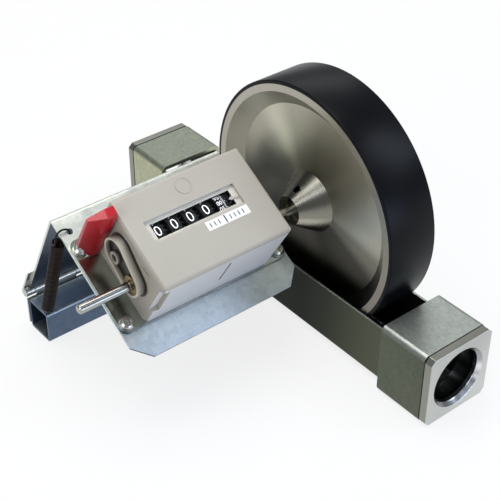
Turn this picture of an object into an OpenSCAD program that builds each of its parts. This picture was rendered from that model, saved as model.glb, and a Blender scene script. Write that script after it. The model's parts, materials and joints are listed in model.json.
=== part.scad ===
// Cable length counter. A sprung measuring wheel rides on the cable in a U channel and drives
// a drum counter through its axle. Lengths are in millimetres, and +Z is up.
// The origin is on the cable's axis, where the near guide bush seats on its box. +Y runs along
// the cable, from the near end to the far end, and +X along the wheel's axle.

/* [Cable guide] */
// Outer side of the square boxes at both ends
box_side = 50; // [48:1:58]
// Wall of the boxes
box_wall = 3; // [2:0.5:3.5]
// Outer corner radius of the boxes
box_radius = 4; // [3.6:0.2:6]
// Length of each box along the cable
box_length = 35; // [20:1:40]
// Distance between the outer ends of the two boxes
guide_span = 288; // [280:1:330]
// Outer width of the U channel
channel_w = 40; // [36:1:42]
// Height of the U channel
channel_h = 40; // [30:1:43]
// Sheet thickness of the U channel
channel_wall = 1.5; // [1:0.1:2]
// Outer bend radius of the U channel
channel_bend = 3; // [2.5:0.5:5]

/* [Guide bushes] */
// Thickness of the bush flange
flange_t = 6; // [3:0.5:10]
// Chamfer on the flange's four corners
flange_chamfer = 3; // [1:0.5:5]
// Length of the square collar inside the box
collar_length = 10; // [5:1:15]
// Bore that the cable passes through
bore_d = 36; // [24:1:38]
// Chamfer at the mouth of the bore
mouth_chamfer = 2.5; // [1:0.1:3]

/* [Measuring wheel] */
// Length of cable that turns the wheel once
wheel_circumference = 500; // [480:1:520]
// Distance of the axle from the near box's outer end
axle_y = 118; // [110:1:125]
// Thickness of the rubber tyre
tyre_t = 2.3; // [1.5:0.1:4]
// Edge rounding of the tyre
tyre_round = 0.6; // [0.3:0.1:1]
// Width of the rim's flat side face
rim_face = 4.6; // [3:0.1:8]
// Radius where the tapered rim meets the web
web_outer_r = 62.7; // [55:0.1:66]
// Distance of the web's near face from the wheel's middle
web_near = 9; // [6:0.5:12]
// Thickness of the web
web_t = 8; // [4:0.5:10]
// Radius of the hub cone at the web
hub_base_r = 20.5; // [16:0.5:30]
// Radius of the hub cone at its tip
hub_tip_r = 9.3; // [9:0.1:12]
// Distance of the hub's tip from the wheel's middle
hub_reach = 25.7; // [22:0.1:32]
// Length of the hub behind the web
hub_back = 13; // [6:0.5:16]
// Diameter of the set screw in the hub
set_screw_d = 4; // [3:0.5:5]
// Distance of the set screw from the hub's tip
set_screw_in = 5.7; // [4:0.1:8]

/* [Main shaft] */
// Diameter of the main shaft
shaft_d = 6; // [5:0.5:8]
// Diameter of the shaft's free end, which is turned down a little
shaft_end_d = 5.6; // [4:0.1:5.6]
// Length of the free shaft end beyond the counter's boss
shaft_stub = 33.5; // [20:0.5:45]
// Chamfer on the shaft ends
shaft_chamfer = 0.8; // [0.4:0.1:1.2]

/* [Counter housing] */
// Angle that the counter and its bracket lean back
arm_tilt = 31; // [27:0.5:34]
// Gap between the hub's tip and the counter
counter_gap = 18.8; // [14:0.1:26]
// Length of the counter along the shaft
counter_l = 92; // [90:1:104]
// Depth of the counter from front to rear
counter_d = 61; // [59:1:68]
// Distance from the shaft to the counter's front face
counter_front = 17.8; // [15:0.1:22]
// Height of the counter above the shaft
counter_above = 21.6; // [21.4:0.1:24]
// Height of the shaft above the counter's foot
counter_below = 20.6; // [17:0.1:24]
// Wall of the counter housing
counter_wall = 2.2; // [1.8:0.1:2.6]
// Radius of the housing's upright edges
counter_corner = 4; // [2:0.5:6]
// Radius of the housing's top edges
counter_edge = 3; // [1:0.5:5]
// Length of the slot down the counter's front face
slot_l = 22; // [10:0.5:26]
// Distance of that slot from the last drum's middle
slot_in = 15.4; // [10:0.1:20]
// Distance of that slot's lower end below the shaft
slot_below = 6.6; // [0:0.1:10]
// Width of the slots in the housing
slot_w = 1.2; // [0.8:0.1:2]
// Depth of the slots in the housing
slot_deep = 0.9; // [0.5:0.1:1.5]
// Height of the notch in the front left edge
notch_h = 23.9; // [16:0.1:26]
// Width of that notch along the shaft
notch_l = 5.5; // [3:0.1:6.5]
// Depth of that notch in the front face
notch_deep = 2.8; // [1:0.1:3.6]
// Distance of that notch's lower end below the shaft
notch_below = 7.4; // [4:0.1:10]
// Height of the slot in the left face above the shaft
side_slot_up = 14.4; // [12:0.1:16]
// Length of the slot in the left face
side_slot_l = 6.4; // [3:0.1:8]
// Radius of the bare ring on the counter's top
ring_r = 5.3; // [4:0.1:6]
// How far the side boss stands out
boss_out = 6; // [4:0.5:8]
// Radius of the boss around the shaft
boss_front_r = 8.5; // [8:0.1:9]
// Radius of the boss's rear end
boss_rear_r = 10; // [7:0.1:10.3]
// Width of the boss's rim
boss_rim = 1.4; // [1:0.1:1.5]
// Depth of the boss's floor below its rim
boss_pocket = 3; // [1:0.5:3.5]

/* [Number drums] */
// Number of drums that count whole metres
metre_drums = 4;
// Distance between neighbouring drums
drum_pitch = 11.15; // [11:0.05:11.5]
// Width of a drum's printed band
drum_band = 7.6; // [7:0.1:7.8]
// Radius of the drums
drum_r = 12.2; // [11.6:0.1:12.2]
// Distance of the drum axle behind the main shaft
drum_v = 15.7; // [15.5:0.1:16.5]
// Height of the drum axle above the main shaft
drum_w = 6.4; // [6:0.1:6.5]
// Distance of the last drum's middle from the counter's right face
drum_inset = 29.2; // [25:0.1:32]
// Diameter of the drum axle
drum_axle_d = 4; // [3:0.5:5]
// Diameter of the pinion axle
pinion_axle_d = 2.6; // [2:0.1:2.8]
// Pitch diameter of a drum's carry ring
carry_ring_d = 20; // [19:0.2:20.4]
// Direction of the pinion axle from the drum axle
pinion_angle = -60; // [-70:1:-50]
// Width of a drum's carry ring
carry_ring_w = 2.8; // [2:0.1:3]
// Width of a carry pinion
pinion_w = 2.4; // [1.5:0.1:2.6]
// Width of the gear on the last drum
drive_gear_w = 3; // [2:0.1:4]

/* [Window] */
// Height of the opening that shows the digits
opening_h = 9.7; // [8:0.1:11]
// Margin of the recess in front of the opening
recess_front = 1.7; // [1:0.1:3]
// Margin of the recess behind the opening
recess_rear = 2.1; // [1:0.1:3]
// Margin of the recess at both ends of the opening
recess_side = 3.8; // [2:0.1:5]
// Thickness of the mask around the digits
mask_t = 0.5; // [0.3:0.1:0.5]
// Thickness of the clear window
lens_t = 0.8; // [0.4:0.1:1]
// Length of the small label in front of the window
label_l = 30; // [20:0.5:40]
// Height of the small label
label_h = 5.8; // [3:0.1:6]
// Thickness of the label
label_t = 0.15; // [0.1:0.05:0.3]

/* [Swing bracket] */
// Sheet thickness of the bracket
bracket_t = 1.5; // [1:0.1:2]
// Distance from the shaft to the bracket's front edge
bracket_front = 37.3; // [34:0.1:42]
// Distance from the shaft to the bracket's bend
bracket_bend_v = 63; // [60:0.5:66]
// Outer radius of the bracket's bend
bracket_bend_r = 2.5; // [2.1:0.1:4]
// Chamfer on the bracket's front corners
bracket_chamfer = 10.5; // [5:0.5:12]
// Lip of the bracket beyond the base plate's left edge
bracket_left_lip = 0.5; // [0.2:0.1:1]
// Lip of the bracket beyond the base plate's right edge
bracket_right_lip = 0.8; // [0.2:0.1:2]
// Clear distance from the hinge barrel to the bracket's lower edge
leg_edge_gap = 0.3; // [0.2:0.1:2]

/* [Base plate] */
// Thickness of the counter's base plate
plate_t = 1.5; // [1:0.1:2.5]
// Base plate beyond the counter's left face
plate_left = 15; // [14:0.5:18]
// Base plate beyond the counter's right face
plate_right = 13.5; // [12:0.5:15]
// Base plate beyond the counter's front face
plate_front = 1.2; // [0.5:0.1:4]
// Base plate beyond the counter's rear face
plate_rear = 1.8; // [0.5:0.1:3]
// Corner radius of the base plate
plate_corner = 5; // [2:0.5:8]
// Thread diameter of the plate screws
screw_d = 4; // [3:0.5:4.5]
// Distance of the screws from the plate's side edges
screw_side = 4.9; // [4.8:0.1:5.5]
// Distance of the screws from the plate's front and rear edges
screw_end = 6.2; // [5:0.1:9]

/* [Hinge and cross tube] */
// Side of the square cross tube
tube_side = 22; // [18:1:26]
// Wall of the cross tube
tube_wall = 1.5; // [1:0.1:2]
// Corner radius of the cross tube
tube_radius = 2; // [2:0.2:4]
// Distance of the cross tube's middle from the near box's outer end
tube_y = 207.5; // [205:0.5:212]
// Distance of the cross tube's open end from the cable's axis
tube_reach = 155; // [152:1:165]
// Outer diameter of the hinge barrel
barrel_d = 6; // [5:0.5:7]
// Diameter of the hinge pin
pin_d = 3; // [2:0.2:3.4]
// Thickness of the hinge leaves
leaf_t = 1.2; // [1:0.1:1.4]
// Height of the hinge leaves
leaf_h = 22; // [15:1:24]
// Length of the hinge
hinge_l = 97; // [90:1:110]
// How far the hinge stands out past the cross tube's open end
hinge_past = 1; // [0:0.5:5]
// Length of a hinge knuckle
knuckle_l = 30; // [20:1:32]
// Length of the first knuckle, where the hinge is cut off
knuckle_first = 7; // [6:0.5:14]

/* [Pressure spring] */
// Wire diameter of the spring
wire_d = 1.25; // [1:0.05:1.25]
// Outer diameter of the spring's coil
coil_d = 8; // [7:0.1:9]
// Distance from curl to curl
coil_pitch = 1.7; // [1.7:0.02:1.76]
// Number of whole curls
curls = 39; // [20:1:40]
// Distance of the spring's hole from the bracket's left edge
spring_hole_in = 6.7; // [6:0.1:8]
// Distance of the spring's hole behind the shaft
spring_hole_v = 51.4; // [49:0.1:54]
// Diameter of the spring's hole in the bracket
spring_hole_d = 4; // [3.4:0.1:5]
// Diameter of the spring's hole in the cross tube
tube_hole_d = 3.2; // [2.8:0.1:4]
// Distance of the tube's spring hole from the tube's open end
tube_hole_in = 5; // [4:0.5:8]
// Distance of the tube's spring hole from the tube's front wall
tube_hole_back = 3.5; // [3.4:0.1:5]

/* [Reset lever] */
// Distance of the lever's pivot behind the main shaft
lever_v = 34.5; // [34:0.1:35.5]
// Height of the lever's pivot above the main shaft
lever_w = -3; // [-5:0.1:-2]
// Width of the lever along the shaft
lever_width = 16.2; // [12:0.1:18]
// Height of the lever above its pivot
lever_h = 30.7; // [24:0.1:34]
// Depth of the lever below its pivot
lever_drop = 15.5; // [10:0.1:15.9]
// Thickness of the lever at the reset shaft
lever_t = 6.6; // [6.2:0.1:6.8]
// Diameter of the reset shaft
reset_d = 4; // [3:0.5:5]

/* [Clearances] */
// Gap between the wheel and the channel floor at rest
floor_gap = 3.5; // [0.5:0.1:5]
// Gap between the wheel and each wall of the channel
wheel_side_gap = 1; // [0.6:0.1:2]
// Gap between a collar and the box around it
collar_gap = 0.1; // [0.05:0.05:0.3]
// Radial gap of parts that turn on a shaft
running_gap = 0.05; // [0.03:0.01:0.08]
// Radial gap of parts that are fixed on a shaft
fixed_gap = 0.02; // [0.01:0.01:0.03]
// Radial gap of a screw in its hole
screw_gap = 0.15; // [0.1:0.05:0.4]
// Gap between the ends of neighbouring knuckles
knuckle_gap = 0.3; // [0.2:0.1:0.6]

/* [Hidden] */
$fn = 96;
over = 1; // how far a cut runs past the faces that it opens

// Cable guide
box_inner = box_side - 2 * box_wall;
base_z = -box_side / 2;
channel_z = base_z + box_wall;
floor_z = channel_z + channel_wall;
collar_side = box_inner - 2 * collar_gap;
collar_radius = box_radius - box_wall;

// Wheel
wheel_r = wheel_circumference / (2 * PI);
wheel_w = channel_w - 2 * channel_wall - 2 * wheel_side_gap;
axle_z = floor_z + floor_gap + wheel_r;
rim_r = wheel_r - tyre_t;
hub_back_x = web_t - web_near + hub_back;

// Counter, in the arm's frame: v runs up the slope to the rear and w square to the slope
counter_right = -hub_reach - counter_gap;
counter_left = counter_right - counter_l;
counter_rear = counter_d - counter_front;
foot_w = -counter_below;
boss_x = counter_left - boss_out;
boss_floor_x = boss_x + boss_pocket;
boss_front_c = [0.5, 1.5];
boss_rear_c = [18.5, 6];
plug_r = 4;
plug_c = [boss_rear_c[0] - 0.3, 0.8];
ring_rise = 0.3;
bush_r = 6;
bush_out = 2;
shaft_step = 0.5;
stub_x = boss_x - shaft_stub;
seat_depth = 1.2;
inner_left = counter_left + counter_wall;
inner_right = counter_right - counter_wall;
inner_top = counter_above - counter_wall;

// Drums and gears
cm_x = counter_right - drum_inset;
function drum_x(place) = cm_x - (metre_drums - place) * drum_pitch;
ring_teeth = 20;
pinion_teeth = 8;
drive_teeth = 20;
drum_gear_teeth = 40;
carry_ring_r = carry_ring_d / 2;
carry_module = carry_ring_d / ring_teeth;
pinion_r = carry_module * pinion_teeth / 2;
drive_distance = norm([drum_v, drum_w]);
drive_module = 2 * drive_distance / (drive_teeth + drum_gear_teeth);
drive_angle = atan2(drum_w, drum_v);
pinion_c = [drum_v, drum_w] + (carry_ring_r + pinion_r) * [cos(pinion_angle), sin(pinion_angle)];
side_gap = 0.5;

// Window
opening_left = drum_x(0) - drum_band / 2 + 0.9;
opening_right = cm_x + drum_band / 2 + drive_gear_w + 0.9;
opening_front = drum_v + 0.65 - opening_h / 2;
opening_back = opening_front + opening_h;
recess_left = opening_left - recess_side;
recess_right = opening_right + recess_side;
pointer_t = 0.6;
lens_gap = 0.05;

// Base plate, bracket and screws
plate_left_x = counter_left - plate_left;
plate_right_x = counter_right + plate_right;
plate_front_v = -counter_front - plate_front;
plate_rear_v = counter_rear + plate_rear;
bracket_left_x = plate_left_x - bracket_left_lip;
bracket_right_x = plate_right_x + bracket_right_lip;
roof_w = foot_w - plate_t;
under_w = roof_w - bracket_t;
washer_t = 0.8;
washer_r = screw_d * 1.12;
head_r = screw_d * 1.05;
head_h = screw_d * 0.65;
nut_t = screw_d * 0.8;
nut_r = screw_d * 1.01;
screw_x = [plate_left_x + screw_side, plate_right_x - screw_side];
screw_v = [plate_front_v + screw_end - 0.7, plate_rear_v - screw_end - 0.8];

// Hinge, in the arm's frame and in the leg's frame
barrel_r = barrel_d / 2;
tube_back_y = tube_y + tube_side / 2;
tube_front_y = tube_y - tube_side / 2;
tube_top_z = base_z + tube_side;
hinge_y = tube_back_y + barrel_r;
hinge_z = tube_top_z + barrel_r;
function to_arm(y, z) = [
  (y - axle_y) * cos(arm_tilt) + (z - axle_z) * sin(arm_tilt),
  (z - axle_z) * cos(arm_tilt) - (y - axle_y) * sin(arm_tilt)
];
function from_arm(v, w) = [
  axle_y + v * cos(arm_tilt) - w * sin(arm_tilt),
  axle_z + v * sin(arm_tilt) + w * cos(arm_tilt)
];
hinge_vw = to_arm(hinge_y, hinge_z);
leg_offset = leaf_t - barrel_r;
bend_rise = [bracket_bend_v, roof_w] - hinge_vw;
leg_slope = atan2(bend_rise[1], bend_rise[0]) - asin(leg_offset / norm(bend_rise));
leg_up = [cos(leg_slope), sin(leg_slope)];
leg_out = [-sin(leg_slope), cos(leg_slope)];
leg_low = barrel_r + leg_edge_gap;
knuckle_clear = 0.3;
hinge_left = -tube_reach - hinge_past;
hinge_right = hinge_left + hinge_l;
knuckle_ends = [
  hinge_left,
  for (x = [hinge_left + knuckle_first : knuckle_l : hinge_right - 6]) x,
  hinge_right
];
knuckle_count = len(knuckle_ends) - 1;

// Spring, from its lower hook in the tube to its upper hook over the bracket
coil_r = (coil_d - wire_d) / 2;
curl_rings = 8;
wire_sides = 6;
coil_top_gap = 6.5;
coil_x = bracket_left_x - 0.5;
roof_hole_yz = from_arm(spring_hole_v, roof_w);
roof_hook = [bracket_left_x + spring_hole_in, roof_hole_yz[0], roof_hole_yz[1]];
tube_hook = [-tube_reach + tube_hole_in, tube_front_y + tube_hole_back, tube_top_z];
spring_rise = [0, roof_hook[1] - tube_hook[1], roof_hook[2] - tube_hook[2]];
coil_axis = spring_rise / norm(spring_rise);
coil_side = cross(coil_axis, [1, 0, 0]);
coil_turns = curls + 0.5;
coil_top = [coil_x, roof_hook[1], roof_hook[2]] - coil_top_gap * coil_axis;
coil_foot = coil_top - coil_turns * coil_pitch * coil_axis;
function coil_point(step) =
  coil_foot
  + coil_axis * coil_pitch * step / curl_rings
  + coil_r * cos(step * 360 / curl_rings) * [1, 0, 0]
  + coil_r * sin(step * 360 / curl_rings) * coil_side;
coil_steps = coil_turns * curl_rings;
// The hooks' bends, from the points where they are caught
lower_hook = [
  [3.9, 0, -4], [3.7, 0, -5.6], [2.6, 0, -6.8], [1.1, 0, -6.5], [0.2, 0, -5], [0, 0, -3],
  [0, 0, -1.2], [0.2, -0.6, 0.5], [0.6, -1.4, 1.8]
];
upper_hook = [
  [-9.9, 0, -2], [-9.2, 0, 0.4], [-7.8, 0, 2.3], [-5.7, 0, 3.2], [-3.5, 0, 3],
  [-1.3, 0, 1.9], [-0.2, 0.15, 0], [0, 0.4, -2], [0.1, 0.8, -4.1]
];
spring_path = [
  for (bend = lower_hook) tube_hook + bend,
  coil_point(0) - coil_side - 0.9 * coil_axis,
  for (step = [0 : coil_steps]) coil_point(step),
  coil_point(coil_steps) - coil_side + 0.9 * coil_axis,
  for (bend = upper_hook) roof_hook + bend
];

// Lever
lever_right = counter_left - 1.3;
lever_left = lever_right - lever_width;
lever_c = [lever_v, lever_w];
lever_front = lever_v - 3.4;
lever_rear = lever_front + lever_t;
lever_top = lever_w + lever_h;
lever_low = lever_w - lever_drop;
lever_seat = 3.5;

// A vector of length one along the given one
function unit(vector) = vector / norm(vector);

// Direction of a path at each of its points
function path_directions(path) = [
  for (i = [0 : len(path) - 1])
    unit(path[min(i + 1, len(path) - 1)] - path[max(i - 1, 0)])
];

// A direction square to the path at each point, carried along without twist
function path_sides(ways) = [
  for (i = 0, side = unit(cross(ways[0], [0.3, 1, 0.2])); i < len(ways);
       i = i + 1, side = i < len(ways) ? unit(side - (side * ways[i]) * ways[i]) : side)
    side
];

// Least distance between points of a path that lie at least so many steps apart
function least_apart(path, steps) = min([
  for (i = [0 : len(path) - steps - 1], j = [i + steps : len(path) - 1]) norm(path[i] - path[j])
]);

// Angle through which an involute has opened at a radius
function involute_angle(base_r, r) =
  let (open = sqrt(max(0, pow(r / base_r, 2) - 1))) open * 180 / PI - atan(open);

// Outline of a spur gear with involute flanks, its first tooth on the outline's x axis
function gear_outline(teeth, gear_module, tip, root, share) =
  let (
    pitch_r = gear_module * teeth / 2,
    base_r = pitch_r * cos(20),
    root_r = pitch_r - gear_module * root,
    tip_r = pitch_r + gear_module * tip,
    start_r = max(base_r, root_r),
    half = 180 / teeth * share + involute_angle(base_r, pitch_r),
    flank = [for (k = [0 : 3]) start_r + (tip_r - start_r) * k / 3],
    side = concat(
      [[root_r, half - involute_angle(base_r, start_r)]],
      [for (r = flank) [r, half - involute_angle(base_r, r)]]
    )
  )
  [
    for (tooth = [0 : teeth - 1])
      each concat(
        [for (p = side) p[0] * [cos(tooth * 360 / teeth - p[1]), sin(tooth * 360 / teeth - p[1])]],
        [for (k = [len(side) - 1 : -1 : 0])
          side[k][0] * [
            cos(tooth * 360 / teeth + side[k][1]),
            sin(tooth * 360 / teeth + side[k][1])
          ]]
      )
  ];

// A 2D shape in (y, z), drawn out along X
module along_x(x0, x1) {
  translate([x0, 0, 0]) rotate([90, 0, 90]) linear_extrude(x1 - x0) children();
}

// A 2D shape in (x, z), drawn out along Y
module along_y(y0, y1) {
  translate([0, y1, 0]) rotate([90, 0, 0]) linear_extrude(y1 - y0) children();
}

// A rod along X at a point of the (y, z) plane
module rod_x(x0, x1, r, at = [0, 0]) {
  translate([x0, at[0], at[1]]) rotate([0, 90, 0]) cylinder(h = x1 - x0, r = r);
}

// Children placed in the arm's frame
module in_arm() {
  translate([0, axle_y, axle_z]) rotate([arm_tilt, 0, 0]) children();
}

// Children placed in the leg's frame: y up the leg, z out of its front, origin on the hinge pin
module in_leg() {
  translate([0, hinge_y, hinge_z]) rotate([arm_tilt + leg_slope, 0, 0]) children();
}

// A rectangle with round corners
module round_rect(x0, x1, y0, y1, r) {
  translate([x0 + r, y0]) square([x1 - x0 - 2 * r, y1 - y0]);
  translate([x0, y0 + r]) square([x1 - x0, y1 - y0 - 2 * r]);
  for (x = [x0 + r, x1 - r], y = [y0 + r, y1 - r]) {
    translate([x, y]) circle(r);
  }
}

// The outline around two circles and their outer tangents
module circle_pair(c1, r1, c2, r2) {
  way = atan2(c2[1] - c1[1], c2[0] - c1[0]);
  spread = acos((r1 - r2) / norm(c2 - c1));
  steps = 24;
  polygon([
    for (k = [0 : steps])
      let (turn = way + spread + (360 - 2 * spread) * k / steps) c1 + r1 * [cos(turn), sin(turn)],
    for (k = [0 : steps])
      let (turn = way - spread + 2 * spread * k / steps) c2 + r2 * [cos(turn), sin(turn)]
  ]);
}

// A wire swept along a path, as one closed skin
module wire(path, d) {
  ways = path_directions(path);
  sides = path_sides(ways);
  points = [
    for (i = [0 : len(path) - 1], k = [0 : wire_sides - 1])
      path[i] + d / 2 * (cos(k * 360 / wire_sides) * sides[i]
        + sin(k * 360 / wire_sides) * cross(ways[i], sides[i]))
  ];
  last = (len(path) - 1) * wire_sides;
  faces = [
    for (i = [0 : len(path) - 2], k = [0 : wire_sides - 1])
      let (
        a = i * wire_sides + k,
        b = i * wire_sides + (k + 1) % wire_sides
      )
      each [[a, a + wire_sides, b + wire_sides], [a, b + wire_sides, b]],
    for (k = [1 : wire_sides - 2]) [0, k, k + 1],
    for (k = [1 : wire_sides - 2]) [last, last + k + 1, last + k]
  ];
  polyhedron(points = points, faces = faces, convexity = 10);
}

// ---- Base ----

module channel() {
  half = channel_w / 2;
  color("#b9bcbc")
  along_y(collar_length, guide_span - collar_length)
  difference() {
    round_rect(-half, half, channel_z, channel_z + channel_h + channel_bend, channel_bend);
    round_rect(-half + channel_wall, half - channel_wall, floor_z,
      channel_z + channel_h + 3 * channel_bend, channel_bend - channel_wall);
    translate([-half - over, channel_z + channel_h]) square([channel_w + 2 * over, channel_h]);
  }
}

module end_box(y0) {
  half = box_side / 2;
  inner = box_inner / 2;
  color("#a9adad")
  along_y(y0, y0 + box_length)
  difference() {
    round_rect(-half, half, -half, half, box_radius);
    round_rect(-inner, inner, -inner, inner, box_radius - box_wall);
  }
}

module near_end_box() {
  end_box(0);
}

module far_end_box() {
  end_box(guide_span - box_length);
}

// The bush as it lies at the near end, with its flange's seat at y = 0
module guide_bush() {
  half = box_side / 2;
  cut = half - flange_chamfer;
  collar = collar_side / 2;
  mouth_r = bore_d / 2 + mouth_chamfer;
  color("#c4c5c3")
  difference() {
    union() {
      along_y(-flange_t, 0)
      polygon([
        [-cut, -half], [cut, -half], [half, -cut], [half, cut],
        [cut, half], [-cut, half], [-half, cut], [-half, -cut]
      ]);
      along_y(0, collar_length)
      round_rect(-collar, collar, -collar, collar, collar_radius);
    }
    translate([0, -flange_t - over, 0]) rotate([-90, 0, 0])
    cylinder(h = flange_t + collar_length + 2 * over, d = bore_d);
    translate([0, -flange_t, 0]) rotate([-90, 0, 0])
    cylinder(h = mouth_chamfer, r1 = mouth_r, r2 = bore_d / 2);
  }
}

module near_guide_bush() {
  guide_bush();
}

module far_guide_bush() {
  translate([0, guide_span, 0]) rotate([0, 0, 180]) guide_bush();
}

module cross_tube() {
  color("#aab1b8")
  difference() {
    along_x(-tube_reach, -channel_w / 2)
    difference() {
      round_rect(tube_front_y, tube_back_y, base_z, tube_top_z, tube_radius);
      round_rect(tube_front_y + tube_wall, tube_back_y - tube_wall,
        base_z + tube_wall, tube_top_z - tube_wall, 0.4);
    }
    translate(tube_hook - [0, 0, tube_wall + over])
    cylinder(h = tube_wall + 2 * over, d = tube_hole_d);
  }
}

// Knuckles with even or odd numbers, around the hinge pin
module knuckles(first, bore_gap) {
  for (i = [first : 2 : knuckle_count - 1]) {
    along_x(knuckle_ends[i] + knuckle_gap / 2, knuckle_ends[i + 1] - knuckle_gap / 2)
    difference() {
      circle(barrel_r);
      circle(pin_d / 2 + bore_gap);
    }
  }
}

// A leaf that hangs down from the barrel, cut free where the other leaf's knuckles are
module leaf(first, bore_gap) {
  difference() {
    union() {
      along_x(hinge_left + knuckle_gap / 2, hinge_right - knuckle_gap / 2)
      translate([-barrel_r, -leaf_h]) square([leaf_t, leaf_h]);
      knuckles(first, bore_gap);
    }
    for (i = [1 - first : 2 : knuckle_count - 1]) {
      along_x(knuckle_ends[i] - knuckle_gap / 2 - (i == 0 ? over : 0),
        knuckle_ends[i + 1] + knuckle_gap / 2)
      translate([-barrel_r - over, -barrel_r - knuckle_clear])
      square([2 * barrel_r + over, 2 * barrel_r + knuckle_clear]);
    }
    along_x(hinge_left - over, hinge_right + over) circle(pin_d / 2 + bore_gap);
  }
}

module hinge_leaf_tube() {
  color("#b4b7b9") translate([0, hinge_y, hinge_z]) leaf(1, fixed_gap);
}

module hinge_pin() {
  color("#cfd0d0") rod_x(hinge_left, hinge_right, pin_d / 2, [hinge_y, hinge_z]);
}

module pressure_spring() {
  color("#2b2422") wire(spring_path, wire_d);
}

// ---- Arm ----

// Turned so that this leaf points up the leg, along its rear face
module hinge_leaf_arm() {
  color("#b4b7b9") in_leg() rotate([90, 0, 0]) leaf(0, running_gap);
}

module swing_bracket() {
  r = bracket_bend_r;
  bend = [bracket_bend_v, roof_w];
  centre = bend - r * (1 + cos(leg_slope)) / sin(leg_slope) * leg_up + r * leg_out;
  low = hinge_vw + leg_offset * leg_out + leg_low * leg_up;
  arc = [for (k = [0 : 8]) 90 + (leg_slope - 180) * k / 8];
  color("#b3b9c0")
  in_arm()
  difference() {
    along_x(bracket_left_x, bracket_right_x)
    polygon([
      [-bracket_front, roof_w],
      for (angle = arc) centre + r * [cos(angle), sin(angle)],
      low,
      low + bracket_t * leg_out,
      for (k = [8 : -1 : 0]) centre + (r - bracket_t) * [cos(arc[k]), sin(arc[k])],
      [-bracket_front, under_w]
    ]);
    for (x = [bracket_left_x, bracket_right_x]) {
      translate([x, -bracket_front, under_w - over]) rotate([0, 0, 45])
      translate([-bracket_chamfer / sqrt(2), -bracket_chamfer / sqrt(2), 0])
      cube([sqrt(2) * bracket_chamfer, sqrt(2) * bracket_chamfer, bracket_t + 2 * over]);
    }
    for (x = screw_x, v = screw_v) {
      translate([x, v, under_w - over])
      cylinder(h = bracket_t + 2 * over, r = screw_d / 2 + screw_gap);
    }
    translate([roof_hook[0], spring_hole_v, under_w - over])
    cylinder(h = bracket_t + 2 * over, d = spring_hole_d);
  }
}

module counter_base_plate() {
  color("#c3c7ca")
  in_arm()
  difference() {
    translate([0, 0, roof_w])
    linear_extrude(plate_t)
    round_rect(plate_left_x, plate_right_x, plate_front_v, plate_rear_v, plate_corner);
    for (x = screw_x, v = screw_v) {
      translate([x, v, roof_w - over])
      cylinder(h = plate_t + 2 * over, r = screw_d / 2 + screw_gap);
    }
  }
}

module plate_screw() {
  slot = screw_d * 1.1;
  difference() {
    union() {
      translate([0, 0, foot_w + washer_t]) cylinder(h = head_h * 0.6, r = head_r);
      translate([0, 0, foot_w + washer_t + head_h * 0.6])
      cylinder(h = head_h * 0.4, r1 = head_r, r2 = head_r * 0.72);
      translate([0, 0, under_w - nut_t - 1])
      cylinder(h = foot_w + washer_t - under_w + nut_t + 1, d = screw_d);
    }
    for (turn = [0, 90]) {
      translate([0, 0, foot_w + washer_t + head_h - 1.2]) rotate([0, 0, turn])
      translate([-slot / 2, -0.5, 0]) cube([slot, 1, 1.2 + over]);
    }
  }
}

module plate_screws() {
  color("#d0d1d0")
  in_arm()
  for (x = screw_x, v = screw_v) {
    translate([x, v, 0]) plate_screw();
  }
}

module plate_washers() {
  color("#c8c9c8")
  in_arm()
  for (x = screw_x, v = screw_v) {
    translate([x, v, foot_w])
    difference() {
      cylinder(h = washer_t, r = washer_r);
      translate([0, 0, -over]) cylinder(h = washer_t + 2 * over, r = screw_d / 2 + screw_gap);
    }
  }
}

module plate_nuts() {
  color("#c8c9c8")
  in_arm()
  for (x = screw_x, v = screw_v) {
    translate([x, v, under_w - nut_t])
    difference() {
      cylinder(h = nut_t, r = nut_r, $fn = 6);
      translate([0, 0, -over]) cylinder(h = nut_t + 2 * over, r = screw_d / 2 + fixed_gap);
    }
  }
}

// A block with round upright edges and round top edges
module housing_block(x0, x1, v0, v1, w0, w1, corner, edge) {
  intersection() {
    translate([0, 0, w0]) linear_extrude(w1 - w0) round_rect(x0, x1, v0, v1, corner);
    along_x(x0, x1) round_rect(v0, v1, w0 - 3 * edge, w1, edge);
    along_y(v0, v1) round_rect(x0, x1, w0 - 3 * edge, w1, edge);
  }
}

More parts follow.
